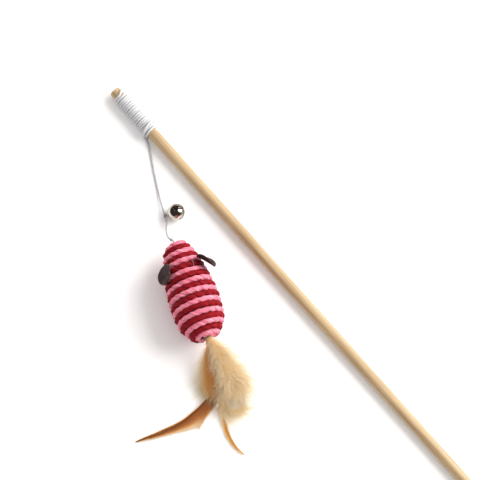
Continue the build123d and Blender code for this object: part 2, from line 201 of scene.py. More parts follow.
def makeFloor():
    # a sheet of smooth white card, far larger than the view
    level, reach = lighting["floorLevel"] * mm, lighting["floorReach"]
    corners = [(x * reach, y * reach, level) for x, y in ((-1, -1), (1, -1), (1, 1), (-1, 1))]
    mesh = bpy.data.meshes.new("whiteCard")
    mesh.from_pydata(corners, [], [(0, 1, 2, 3)])
    card = newObject("whiteCard", mesh)
    # white card: matt, with no visible grain at this distance
    paint(card, newMaterial("matt white card", {
        "Base Color": hexColour(lighting["floor"]), "Roughness": 0.9, "Specular IOR Level": 0.2})[0])


makeLamp("keyWindow", lighting["key"])
makeRoom()
makeFloor()
print("camera, light and floor made")


def newTree(name, sockets):
    # a Geometry Nodes tree with one geometry in and out, and the named inputs with what they start at
    tree = bpy.data.node_groups.new(name, "GeometryNodeTree")
    tree.interface.new_socket("Geometry", in_out="INPUT", socket_type="NodeSocketGeometry")
    for label, value in sockets.items():
        kind = "NodeSocketInt" if isinstance(value, int) else "NodeSocketFloat"
        tree.interface.new_socket(label, in_out="INPUT", socket_type=kind).default_value = value
    tree.interface.new_socket("Material", in_out="INPUT", socket_type="NodeSocketMaterial")
    tree.interface.new_socket("Geometry", in_out="OUTPUT", socket_type="NodeSocketGeometry")
    return tree, addNode(tree, "NodeGroupInput").outputs, partial(addNode, tree)


def closeTree(tree, geometry, material):
    # every tree ends as real, smooth, painted geometry
    soft = addNode(tree, "GeometryNodeSetShadeSmooth", {"Geometry": geometry})
    real = addNode(tree, "GeometryNodeRealizeInstances", [soft])
    painted = addNode(tree, "GeometryNodeSetMaterial", {"Geometry": real, "Material": material})
    addNode(tree, "NodeGroupOutput", [painted])
    return tree


def finishedMesh(holder):
    # the mesh that an object's curve or modifier makes
    bpy.context.view_layer.update()
    graph = bpy.context.evaluated_depsgraph_get()
    return bpy.data.meshes.new_from_object(holder.evaluated_get(graph), depsgraph=graph)


def growMesh(name, source, tree, values, material):
    # runs the tree on the source and keeps what it makes as a plain mesh
    modifier = source.modifiers.new("grow", "NODES")
    modifier.node_group = tree
    chosen = {**values, "Material": material}
    for item in tree.interface.items_tree:
        if item.item_type == "SOCKET" and item.in_out == "INPUT" and item.name in chosen:
            modifier[item.identifier] = chosen[item.name]
    mesh = finishedMesh(source)
    mesh.name = name
    piece = newObject(name, mesh)
    bpy.data.objects.remove(source)
    paint(piece, material)
    print(name, "has", sum(len(face.vertices) - 2 for face in mesh.polygons), "triangles")
    return piece


def pathCurve(name, points, smooth=False):
    # a straight-run line through the points, or a smooth NURBS line that they steer
    curve = bpy.data.curves.new(name, "CURVE")
    curve.dimensions = "3D"
    spline = curve.splines.new("NURBS" if smooth else "POLY")
    spline.points.add(len(points) - 1)
    for point, place in zip(spline.points, points):
        point.co = (*place, 1.0)
    if smooth:
        spline.order_u = 3
        spline.use_endpoint_u = True
        spline.resolution_u = 24
    return newObject(name, curve)


def smoothRows(rows, steps):
    # rows of numbers, with more put between them on a Catmull-Rom line
    ends = [[2 * a - b for a, b in zip(rows[0], rows[1])]] + [list(row) for row in rows]
    ends.append([2 * a - b for a, b in zip(rows[-1], rows[-2])])
    made = []
    for four in zip(ends, ends[1:], ends[2:], ends[3:]):
        for i in range(steps):
            t = i / steps
            made.append([0.5 * (2 * b + (c - a) * t + (2 * a - 5 * b + 4 * c - d) * t * t
                                + (3 * b - a - 3 * c + d) * t ** 3) for a, b, c, d in zip(*four)])
    return made + [list(rows[-1])]


def makeStrandTree():
    # a twisted strand along a line: a lobed section that turns as it goes, with creases along the twist
    tree, ask, add = newTree("twistedStrand", {
        "Radius": 0.001, "Taper": 0.0, "Step": 0.0003, "Twist": 0.008, "Sides": 20, "Lobes": 3.0,
        "Lobe depth": 0.08, "Swell": 0.05, "Swell length": 0.01, "Crease": 0.0001, "Crease count": 2.0,
        "Seed": 0.0})
    line = add("GeometryNodeResampleCurve", {"Curve": ask["Geometry"], "Length": ask["Step"]},
               mode="LENGTH")
    spot = add("GeometryNodeSplineParameter")
    along = spot.outputs["Length"]
    turns = add("ShaderNodeMath", [along, ask["Twist"]], "DIVIDE")
    tilt = add("ShaderNodeMath", [turns, 2 * math.pi], "MULTIPLY")
    turned = add("GeometryNodeSetCurveTilt", {"Curve": line, "Tilt": tilt})
    kept = add("GeometryNodeStoreNamedAttribute", {"Geometry": turned, "Name": "along", "Value": along})
    reach = add("ShaderNodeMath", [along, ask["Swell length"]], "DIVIDE")
    seeded = add("ShaderNodeMath", [reach, ask["Seed"]], "ADD")
    uneven = add("ShaderNodeTexNoise", {"W": seeded, "Scale": 1.0, "Detail": 2.0}, noise_dimensions="1D")
    swing = add("ShaderNodeMath", [uneven, 0.5], "SUBTRACT")
    swell = add("ShaderNodeMath", [swing, ask["Swell"], 1.0], "MULTIPLY_ADD")
    thinner = add("ShaderNodeMath", [spot, ask["Taper"]], "MULTIPLY")
    left = add("ShaderNodeMath", [1.0, thinner], "SUBTRACT")
    radius = add("ShaderNodeMath", [swell, ask["Radius"]], "MULTIPLY")
    size = add("ShaderNodeMath", [radius, left], "MULTIPLY")
    ring = add("GeometryNodeCurvePrimitiveCircle", {"Resolution": ask["Sides"], "Radius": 1.0})
    place = add("GeometryNodeInputPosition")
    parts = add("ShaderNodeSeparateXYZ", [place])
    angle = add("ShaderNodeMath", [parts.outputs["Y"], parts.outputs["X"]], "ARCTAN2")
    wave = add("ShaderNodeMath", [angle, ask["Lobes"]], "MULTIPLY")
    lobe = add("ShaderNodeMath", [wave], "COSINE")
    bulge = add("ShaderNodeMath", [lobe, ask["Lobe depth"], 1.0], "MULTIPLY_ADD")
    shape = add("ShaderNodeVectorMath", {0: place, "Scale": bulge}, "SCALE")
    section = add("GeometryNodeSetPosition", {"Geometry": ring, "Position": shape})
    around = add("GeometryNodeStoreNamedAttribute",
                 {"Geometry": section, "Name": "around", "Value": shape}, data_type="FLOAT_VECTOR")
    tube = add("GeometryNodeCurveToMesh", {"Curve": kept, "Profile Curve": around, "Scale": size,
                                           "Fill Caps": True})
    aroundRead = add("GeometryNodeInputNamedAttribute", ["around"], data_type="FLOAT_VECTOR")
    alongRead = add("GeometryNodeInputNamedAttribute", ["along"])
    reachRead = add("ShaderNodeMath", [alongRead, ask["Swell length"]], "DIVIDE")
    deep = add("ShaderNodeMath", [reachRead, ask["Seed"]], "ADD")
    down = add("ShaderNodeCombineXYZ", {"Z": deep})
    ringed = add("ShaderNodeVectorMath", {0: aroundRead, "Scale": ask["Crease count"]}, "SCALE")
    fibre = add("ShaderNodeVectorMath", [ringed, down], "ADD")
    keepFibre = add("GeometryNodeStoreNamedAttribute", {"Geometry": tube, "Name": "fibre", "Value": fibre},
                    data_type="FLOAT_VECTOR")
    rumple = add("ShaderNodeTexNoise", {"Vector": fibre, "Scale": 1.0, "Detail": 3.0, "Roughness": 0.6})
    half = add("ShaderNodeMath", [rumple, 0.5], "SUBTRACT")
    depth = add("ShaderNodeMath", [half, ask["Crease"]], "MULTIPLY")
    normal = add("GeometryNodeInputNormal")
    push = add("ShaderNodeVectorMath", {0: normal, "Scale": depth}, "SCALE")
    creased = add("GeometryNodeSetPosition", {"Geometry": keepFibre, "Offset": push})
    return closeTree(tree, creased, ask["Material"])


strandTree = makeStrandTree()


def growStrand(name, points, values, material, smooth=False):
    return growMesh(name, pathCurve(name + "Path", points, smooth), strandTree, values, material)


def makeStrandMaterial(name, stops, surface, streak, grit, relief):
    # dyed fibre: long streaks along the twist, with lint of grit mm over them and creases of relief mm. The
    # streaks are the fibre's own tone, but the same value also sets the crease height, so the hollows are
    # painted darker as shade and the raised creases paler as highlight.
    material, shader, add = newMaterial(name, surface)
    fibre = add("ShaderNodeAttribute", attribute_name="fibre").outputs["Vector"]
    long = add("ShaderNodeTexNoise", {"Vector": fibre, "Scale": streak, "Detail": 4.0, "Roughness": 0.65})
    place = add("ShaderNodeTexCoord").outputs["Object"]
    lint = add("ShaderNodeTexNoise", {"Vector": place, "Scale": 1 / (grit * mm), "Detail": 2.0})
    rough = add("ShaderNodeMath", [lint, 0.5], "SUBTRACT")
    blend = add("ShaderNodeMath", [rough, 0.35, long], "MULTIPLY_ADD")
    # painted shade and highlight: this ramp follows the crease height, dark in the hollows and pale on the
    # ridges
    ramp = setStops(add("ShaderNodeValToRGB", [blend]), stops)
    bump = add("ShaderNodeBump", {"Strength": 0.6, "Distance": relief * mm, "Height": blend})
    feed(shader, {"Base Color": ramp, "Normal": bump})
    return material


# white braided cotton: matt, its hollows painted a little grey as shade
cordMaterial = makeStrandMaterial(
    "braided white cotton", [(0.25, "ABABAF"), (0.45, "C8C8CB"), (0.7, "DCDCDE")],
    {"Roughness": 0.85, "Sheen Weight": 0.25, "Sheen Roughness": 0.5}, 1.6, 0.35, 0.1)
# the loose cord, nose cord and knots: the same white cotton painted a little greyer, as painted shade on the
# thin loose cord
shadedCordMaterial = makeStrandMaterial(
    "white cotton painted greyer for shade", [(0.25, "979397"), (0.45, "B5B1B4"), (0.7, "CECBCE")],
    {"Roughness": 0.85, "Sheen Weight": 0.15, "Sheen Roughness": 0.5}, 1.6, 0.35, 0.1)
# pink paper twine: soft and chalky, its raised creases painted paler as highlight and its hollows darker as
# shade
pinkMaterial = makeStrandMaterial(
    # the near-white top stop FFC4D0 is a painted highlight on the raised creases
    "pink paper twine", [(0.28, "AE3E54"), (0.45, "DC6A82"), (0.6, "F090A4"), (0.74, "FFC4D0")],
    {"Roughness": 0.7, "Sheen Weight": 0.12, "Sheen Roughness": 0.4, "Specular IOR Level": 0.35},
    1.3, 0.5, 0.25)
# dark red paper twine: a deeper dye that gives back little of the light
redMaterial = makeStrandMaterial(
    "dark red paper twine", [(0.28, "47030B"), (0.45, "760812"), (0.66, "9C121E")],
    {"Roughness": 0.7, "Specular IOR Level": 0.12}, 1.3, 0.5, 0.25)
print("twine and cord materials made")

# the free cord, from the hitch on the stick to the nose of the lure
freeCord = {
    "diameter": 1.4,
    "route": [
        (360.133, 5.056, -2.992), (352.8, 7.9, -3.2), (339.8, 15.7, -3.2), (325.4, 23.5, -3.2),
        (311.4, 30.9, -1.3), (303.8, 33.7, -1.0), (298.9, 38.8, -1.2), (293.3, 41.7, 1.8),
        (289.269, 41.976, 5.452)],
    "braid": {"Step": 0.25 * mm, "Twist": 3.4 * mm, "Sides": 18, "Lobe depth": 0.09,
              "Swell length": 3 * mm, "Crease": 0.06 * mm},
}


def makeFreeCord(cord):
    route = [Vector(point) * mm for point in cord["route"]]
    holder = pathCurve("freeCordRoute", route, smooth=True)
    line = finishedMesh(holder)
    bpy.data.meshes.remove(line)
    piece = growMesh("freeCordBraid", holder, strandTree,
                     {**cord["braid"], "Radius": cord["diameter"] / 2 * mm}, shadedCordMaterial)
    giveTo(piece, "cord", "cord_white", "free_cord")


makeFreeCord(freeCord)

# the stick lies at a slight slope, because the winding lifts its tip
stick = {"tiltRise": 1.25, "tiltRun": 360.12}
stickTilt = math.atan2(stick["tiltRise"], stick["tiltRun"])
stickAlong = Vector((math.cos(stickTilt), 0, math.sin(stickTilt)))
stickSide = Vector((0, 1, 0))
stickUp = Vector((-math.sin(stickTilt), 0, math.cos(stickTilt)))


def onStick(along, radius, degrees):
    # a point beside the stick's axis, in metres, with 0 degrees on the lure's side and 90 on top
    turn = math.radians(degrees)
    return (stickAlong * along + stickSide * radius * math.cos(turn)
            + stickUp * radius * math.sin(turn)) * mm


def makeBeech():
    # planed and lightly waxed beech: warm straw brown, long faint grain, short dark ray flecks
    material, shader, add = newMaterial("waxed beech", {
        "Roughness": 0.42, "Specular IOR Level": 0.45, "Coat Weight": 0.12, "Coat Roughness": 0.25})
    place = add("ShaderNodeTexCoord").outputs["Object"]
    grainPlace = add("ShaderNodeMapping", {"Vector": place, "Scale": (1 / 0.05, 1 / 0.0016, 1 / 0.0016)})
    grain = add("ShaderNodeTexNoise", {"Vector": grainPlace, "Scale": 1.0, "Detail": 5.0, "Roughness": 0.6,
                                       "Distortion": 0.4})
    ramp = setStops(add("ShaderNodeValToRGB", [grain]),
                    [(0.28, "9E815C"), (0.45, "B1956F"), (0.6, "BDA27C"), (0.78, "C8B18C")])
    fleckPlace = add("ShaderNodeMapping", {"Vector": place, "Scale": (1 / 0.0026, 1 / 0.0004, 1 / 0.0004)})
    fleck = add("ShaderNodeTexVoronoi", {"Vector": fleckPlace, "Scale": 1.0})
    fleckMask = add("ShaderNodeMapRange", [fleck.outputs["Distance"], 0.1, 0.26, 0.45, 0.0])
    mixed = add("ShaderNodeMix", {0: fleckMask, 6: ramp, 7: hexColour("8F6B45")}, data_type="RGBA")
    rough = add("ShaderNodeMapRange", [grain, 0.3, 0.7, 0.52, 0.36])
    bump = add("ShaderNodeBump", {"Strength": 0.25, "Distance": 0.05 * mm, "Height": grain})
    feed(shader, {"Base Color": mixed.outputs[2], "Roughness": rough, "Normal": bump})
    return material


dressNode("wand_dowel", makeBeech())
print("stick dressed")

# the cord wound on the stick, its cut end on the bare tip, and the last loop that crosses over it
winding = {
    "start": 393.7, "pitch": 1.84, "turns": 18.25, "endAngle": -15.0, "radius": 4.6,
    "turnPoints": 48, "sway": [(0.12, 2.3, 0.0), (0.09, 5.1, 1.0)],
    "cutEnd": {"points": 12, "turns": 0.16, "reach": 2.9, "curve": 1.3, "lift": 0.15},
    "loop": {"start": 361.1, "slant": 3.2, "drift": 1.2, "lift": 1.35, "points": 73, "from": -32, "step": 5,
             "rise": 60, "least": 0.4, "downAt": 205, "fall": 35},
    "strand": {"Radius": 0.92 * mm, "Step": 0.36 * mm, "Twist": 3.6 * mm, "Swell": 0.1,
               "Swell length": 4 * mm},
    "loopStrand": {"Radius": 0.95 * mm, "Seed": 3.0},
}


def windingPath(w):
    points = []
    cut = w["cutEnd"]
    for i in range(cut["points"], 0, -1):
        share = i / cut["points"]
        t = -share * cut["turns"]
        points.append(onStick(w["start"] + cut["reach"] * share ** cut["curve"],
                              w["radius"] + cut["lift"] * share, w["endAngle"] + 360 * (w["turns"] - t)))
    count = int(w["turns"] * w["turnPoints"])
    for i in range(count + 1):
        t = w["turns"] * i / count
        sway = sum(size * math.sin(rate * t + phase) for size, rate, phase in w["sway"])
        points.append(onStick(w["start"] - w["pitch"] * t + sway, w["radius"],
                              w["endAngle"] + 360 * (w["turns"] - t)))
    return points


def loopPath(w):
    loop = w["loop"]
    points = []
    for i in range(loop["points"]):
        degrees = loop["from"] + loop["step"] * i
        gone = degrees - loop["from"]
        share = gone / 360
        up = min(1.0, loop["least"] + gone / loop["rise"])
        over = max(0.0, min(1.0, (loop["downAt"] - degrees) / loop["fall"])) * up
        slant = loop["slant"] * math.sin(math.pi * share) ** 2
        points.append(onStick(loop["start"] + slant + loop["drift"] * share,
                              w["radius"] + loop["lift"] * over, degrees))
    return points


piece = growStrand("tipWinding", windingPath(winding), winding["strand"], cordMaterial)
giveTo(piece, "wand", "cord_white", "tip_winding")
piece = growStrand("tipLoop", loopPath(winding), {**winding["strand"], **winding["loopStrand"]}, cordMaterial)
giveTo(piece, "wand", "cord_white")

# small tied knots, each a cord that goes over and under itself
knotShape = {"points": 60, "phase": 0.4, "depth": 1.3}
knots = {
    "hitchKnot": {"body": "knot", "node": "hitch_knot", "middle": (360.25, 5.0, -2.5),
                  "aim": (-0.93, 0.36, 0.3), "size": 0.44, "cord": 0.66},
    "bellKnot": {"body": "cord", "node": "bell_knot", "middle": (308.236, 32.067, -1.175),
                 "aim": (-0.938, 0.345, 0.037), "size": 0.3, "cord": 0.6},
    "stopperKnot": {"body": "lure", "node": "stopper_knot", "middle": None,
                    "aim": (-0.919, 0.392, 0.052), "size": 0.48, "cord": 0.66},
}


def knotPath(knot):
    along = Vector(knot["aim"]).normalized()
    side = along.cross(worldUp).normalized()
    up = side.cross(along)
    points = []
    for i in range(knotShape["points"] + 1):
        t = 2 * math.pi * i / knotShape["points"] + knotShape["phase"]
        across = side * (math.sin(t) + 2 * math.sin(2 * t)) + up * (math.cos(t) - 2 * math.cos(2 * t))
        depth = along * math.sin(3 * t) * knotShape["depth"]
        points.append((Vector(knot["middle"]) + (across - depth) * knot["size"]) * mm)
    return points


# the lure: its nose is the origin, x runs to the tail, side points to the stick and up is up
lure = {
    "nose": (287.5, 41.1, 11.528), "heading": 156.9, "pitch": 3.0,
    "outline": [(2.0, 4.0), (5.2, 6.6), (13.3, 10.2), (30.4, 14.2), (44.0, 16.0), (58.7, 15.6),
                (66.8, 14.0), (73.4, 9.6), (75.3, 6.4)],
}
heading, pitch = math.radians(lure["heading"]), math.radians(lure["pitch"])
lureAlong = Vector((math.cos(heading) * math.cos(pitch), math.sin(heading) * math.cos(pitch),
                    math.sin(pitch)))
lureSide = worldUp.cross(lureAlong).normalized()
lureUp = lureAlong.cross(lureSide)


def onLure(along, side, up):
    return (Vector(lure["nose"]) + lureAlong * along + lureSide * side + lureUp * up) * mm


outlineRows = smoothRows(lure["outline"], 20)
outlineReach = [0.0]
for before, after in zip(outlineRows, outlineRows[1:]):
    outlineReach.append(outlineReach[-1] + math.dist(before, after))


def onOutline(reach):
    # the along and radius of the outline at a distance measured on it from the nose
    reach = max(0.0, min(reach, outlineReach[-1]))
    for i in range(len(outlineReach) - 1):
        if reach <= outlineReach[i + 1]:
            t = (reach - outlineReach[i]) / (outlineReach[i + 1] - outlineReach[i])
            return [a + (b - a) * t for a, b in zip(outlineRows[i], outlineRows[i + 1])]
    return outlineRows[-1]


twine = {
    "lead": 8.2, "inset": 1.3, "startAngle": -50.0, "turnPoints": 90,
    "slant": 0.8, "slantRadius": 16.0,                   # how far the turns lean, where the lure is so thick
    "endSqueeze": 0.03, "tailFrom": 40, "noseFrom": 20,  # the turns close up towards both ends
    "noseSqueeze": 0.7, "noseReach": 15,                 # and the nose is drawn in
    "tailAlong": 74.2, "tailRadius": 5.0, "closeAlong": 3, "closeRadius": 2,
    "sway": [(0.22, 4.3, 1), (0.16, 9.7, 2)], "rise": (0.12, 7.1),
    "strand": {"Step": 0.45 * mm, "Twist": 11 * mm, "Sides": 28, "Lobes": 2.0, "Lobe depth": 0.1,
               "Swell": 0.14, "Swell length": 7 * mm, "Crease": 0.85 * mm, "Crease count": 1.6},
}
# the second colour starts half a turn's lead after the first, and the first closes the tail face
twines = {
    "pinkTwine": {"node": "pink_twine", "slot": "twine_pink", "material": pinkMaterial, "turns": 9.45,
                  "closing": 1.0, "leads": 0.0, "lift": 0.0, "phase": 0.5, "radius": 1.86, "seed": 11.0},
    "redTwine": {"node": "red_twine", "slot": "twine_red", "material": redMaterial, "turns": 8.85,
                 "closing": 0.0, "leads": 0.5, "lift": -0.1, "phase": 2.5, "radius": 2.0, "seed": 47.0},
}


def twinePath(w, one):
    # closing is how far the twine goes on round the tail face, in turns
    points = []
    turns, closing, phase = one["turns"], one["closing"], one["phase"]
    count = int((turns + closing) * w["turnPoints"])
    for i in range(count + 1):
        t = (turns + closing) * i / count
        turn = math.radians(w["startAngle"] + 360 * t)
        plain = w["inset"] + w["lead"] * one["leads"] + w["lead"] * t
        lean = w["slant"] * onOutline(plain)[1] / w["slantRadius"] * math.cos(turn)
        along, radius = onOutline(plain + lean)
        along += sum(size * math.sin(rate * t + times * phase) for size, rate, times in w["sway"])
        radius += one["lift"] + w["rise"][0] * math.sin(w["rise"][1] * t + phase)
        along -= w["endSqueeze"] * (max(0.0, along - w["tailFrom"]) - max(0.0, w["noseFrom"] - along))
        radius -= w["noseSqueeze"] * max(0.0, 1 - along / w["noseReach"])
        if t > turns:
            share = (t - turns) / closing
            along += (w["tailAlong"] - along) * min(1.0, w["closeAlong"] * share)
            radius += (w["tailRadius"] - radius) * min(1.0, w["closeRadius"] * share)
        points.append(onLure(along, radius * math.cos(turn), radius * math.sin(turn)))
    return points


for name, one in twines.items():
    piece = growStrand(name, twinePath(twine, one), {
        **twine["strand"], "Radius": one["radius"] * mm, "Seed": one["seed"]}, one["material"])
    giveTo(piece, "lure", one["slot"], one["node"])

noseCord = {"bore": 3.1, "depth": 12.0, "rise": 3, "straight": 6}
boreStart, boreMiddle, boreEnd = [
    onLure(noseCord["bore"] + depth, 0, 0) for depth in (0, noseCord["straight"], noseCord["depth"])]
knots["stopperKnot"]["middle"] = list(boreEnd / mm)
pivot = Vector(freeCord["route"][-1]) * mm
noseRoute = [pivot, Vector((pivot.x, pivot.y, pivot.z + noseCord["rise"] * mm)),
             Vector((pivot.x, pivot.y, boreStart.z)), boreStart, boreMiddle, boreEnd]
piece = growStrand("noseCord", noseRoute, {**freeCord["braid"], "Radius": freeCord["diameter"] / 2 * mm},
                   shadedCordMaterial, smooth=True)
giveTo(piece, "lure", "cord_white", "nose_cord")
for name, knot in knots.items():
    piece = growStrand(name, knotPath(knot), {**freeCord["braid"], "Radius": knot["cord"] * mm},
                       shadedCordMaterial)
    giveTo(piece, knot["body"], "cord_white", knot["node"])


def makeGrained(name, surface, grain, stops):
    # a dry fibrous surface: grain is the size of its patches along x, y and z
    material, shader, add = newMaterial(name, surface)
    place = add("ShaderNodeTexCoord").outputs["Object"]
    spread = add("ShaderNodeMapping", {"Vector": place, "Scale": tuple(1 / (size * mm) for size in grain)})
    patch = add("ShaderNodeTexNoise", {"Vector": spread, "Scale": 1.0, "Detail": 4.0})
    ramp = setStops(add("ShaderNodeValToRGB", [patch]), stops)
    bump = add("ShaderNodeBump", {"Strength": 0.4, "Distance": 0.1 * mm, "Height": patch})
    feed(shader, {"Base Color": ramp, "Normal": bump})
    return material


# rolled grey-brown board: dry and matt, with fibres a millimetre or two long
dressNode("lure_core", makeGrained(
    "rolled board", {"Roughness": 0.9, "Specular IOR Level": 0.3}, (1.8, 0.4, 0.8),
    [(0.3, "6E5646"), (0.5, "8A6E58"), (0.7, "A58A70")]))
# the turned softwood plug in the tail, painted dark as the shade inside the tail's opening
dressNode("tail_plug", makeGrained(
    "softwood painted dark for shade", {"Roughness": 0.55, "Specular IOR Level": 0.4}, (0.9, 0.9, 0.9),
    [(0.3, "3B1B1A"), (0.55, "6A3A2C"), (0.75, "93614A")]))
print("lure wound")


def makeMetal(name, stops, roughness, streak):
    # polished plate with fine rub marks of streak mm
    material, shader, add = newMaterial(name, {"Metallic": 1.0, "Roughness": roughness})
    place = add("ShaderNodeTexCoord").outputs["Object"]
    rub = add("ShaderNodeTexNoise", {"Vector": place, "Scale": 1 / (streak * mm), "Detail": 3.0})
    ramp = setStops(add("ShaderNodeValToRGB", [rub]), stops)
    dull = add("ShaderNodeMapRange", [rub, 0.3, 0.7, roughness * 0.7, roughness * 1.5])
    feed(shader, {"Base Color": ramp, "Roughness": dull})
    return material


# nickel plate, bright and slightly warm; and bare steel wire, a little greyer
nickelMaterial = makeMetal("bright nickel plate", [(0.3, "B9B2A8"), (0.7, "D8D2C8")], 0.12, 0.8)
steelMaterial = makeMetal("drawn steel wire", [(0.3, "9B9A98"), (0.7, "C9C8C5")], 0.22, 0.4)
for name in ("bell_shell", "bell_bail"):
    dressNode(name, nickelMaterial)
for name in ("bell_pellet", "ear_staple"):
    dressNode(name, steelMaterial)
print("metal dressed")

ears = {
    "radius": 7.6, "thick": 1.4, "points": 72,
    "face": [0.25, 0.5, 0.72, 0.88, 0.95],  # rings on the flat of each side, as shares of the radius
    "rim": [(0.98, 0.8), (0.995, 0.4), (1.0, 0.0), (0.995, -0.4), (0.98, -0.8)],
    "uneven": [(0.012, 3, 1), (0.008, 7, 0)],
    "droop": 0.35, "warp": (0.12, 0.7), "set": 0.25,
    "pieces": {
        "earLeft": {"node": "ear_left", "middle": (25.7, -14.35, 9.1), "aim": (-0.27, -0.79, 0.547),
                    "cup": 0.9},
        "earRight": {"node": "ear_right", "middle": (25.5, 16.1, 11.6), "aim": (-0.636, 0.715, 0.29),
                     "cup": 2.1},
    },
}


def makeLeather():
    # thin brown leather: fine pebbled grain, rubbed paler here and there
    material, shader, add = newMaterial("dark brown leather",
                                         {"Roughness": 0.72, "Specular IOR Level": 0.25})
    place = add("ShaderNodeTexCoord").outputs["Object"]
    wear = add("ShaderNodeTexNoise", {"Vector": place, "Scale": 1 / 0.004, "Detail": 5.0,
                                      "Roughness": 0.65})
    ramp = setStops(add("ShaderNodeValToRGB", [wear]),
                    [(0.3, "1C0E0D"), (0.48, "33201E"), (0.62, "4A3532"), (0.78, "6B5853")])
    pebble = add("ShaderNodeTexVoronoi", {"Vector": place, "Scale": 1 / 0.0006})
    bump = add("ShaderNodeBump", {"Strength": 0.5, "Distance": 0.1 * mm, "Height": pebble})
    feed(shader, {"Base Color": ramp, "Normal": bump})
    return material


leatherMaterial = makeLeather()


def makeEar(name, ear):
    # a punched disc with a softened rim, slightly cupped and not quite flat
    radius, half, count = ears["radius"], ears["thick"] / 2, ears["points"]
    face = (lureAlong * ear["aim"][0] + lureSide * ear["aim"][1] + lureUp * ear["aim"][2]).normalized()
    across = face.cross(lureAlong).normalized()
    other = face.cross(across)
    middle = onLure(*ear["middle"])
    profile = [(share, half) for share in ears["face"]]
    profile += [(share, half * level) for share, level in ears["rim"]]
    profile += [(share, -half) for share in reversed(ears["face"])]

    def place(share, level, turn):
        wander = 1 + sum(size * math.sin(rate * turn + phase) for size, rate, phase in ears["uneven"])
        reach = radius * share * wander
        u, v = reach * math.cos(turn), reach * math.sin(turn)
        warp = ears["warp"][0] * share * math.sin(2 * turn + ears["warp"][1])
        bend = ear["cup"] * (u / radius) ** 2 - ears["droop"] * (v / radius) ** 2 + warp
        return middle + (across * u + other * v + face * (level + bend - ears["set"])) * mm

    points = [place(0, half, 0)]
    for share, level in profile:
        points += [place(share, level, 2 * math.pi * i / count) for i in range(count)]
    points.append(place(0, -half, 0))
    faces = []
    for i in range(count):
        after = (i + 1) % count
        faces.append((0, 1 + i, 1 + after))
        for ring in range(len(profile) - 1):
            low = 1 + ring * count
            faces.append((low + i, low + count + i, low + count + after, low + after))
        low = 1 + (len(profile) - 1) * count
        faces.append((len(points) - 1, low + after, low + i))
    mesh = bpy.data.meshes.new(name)
    mesh.from_pydata(points, [], faces)
    mesh.shade_smooth()
    piece = newObject(name, mesh)
    paint(piece, leatherMaterial)
    giveTo(piece, ear["node"], "ear_brown", ear["node"])


for name, ear in ears["pieces"].items():
    makeEar(name, ear)

# ends of the dull dark sewing thread that holds the right ear, loose behind it
threadMaterial = makeStrandMaterial(
    "dark sewing thread", [(0.3, "3A3234"), (0.5, "564C4E"), (0.7, "746A6C")], {"Roughness": 0.8},
    2.0, 0.3, 0.05)
threads = {
    "strand": {"Radius": 0.2 * mm, "Step": 0.2 * mm, "Twist": 1.4 * mm, "Sides": 10, "Lobes": 2.0,
               "Lobe depth": 0.1, "Swell": 0.1, "Swell length": 1 * mm, "Crease": 0.02 * mm},
    "paths": {
        "earThreadLong": [(22.0, 12.0, 10.6), (25.6, 12.8, 11.4), (29.4, 13.8, 11.0), (32.6, 15.0, 10.2),
                          (35.4, 15.6, 9.4)],
        "earThreadShort": [(22.6, 12.4, 10.4), (26.4, 11.6, 12.6), (29.6, 11.2, 13.4), (31.4, 12.4, 12.8)],
    },
}
for name, path in threads["paths"].items():
    points = [onLure(*point) for point in path]
    piece = growStrand(name, points, threads["strand"], threadMaterial, smooth=True)
    giveTo(piece, "lure", "ear_brown")
print("ears made")


# barbs shorter than least are left out, and those that would go through the table lie on it in a layer
barbLimits = {"least": 0.3, "layer": 1.2, "table": -3.7, "rightSeed": 17.0, "leftSeed": 5031.0}


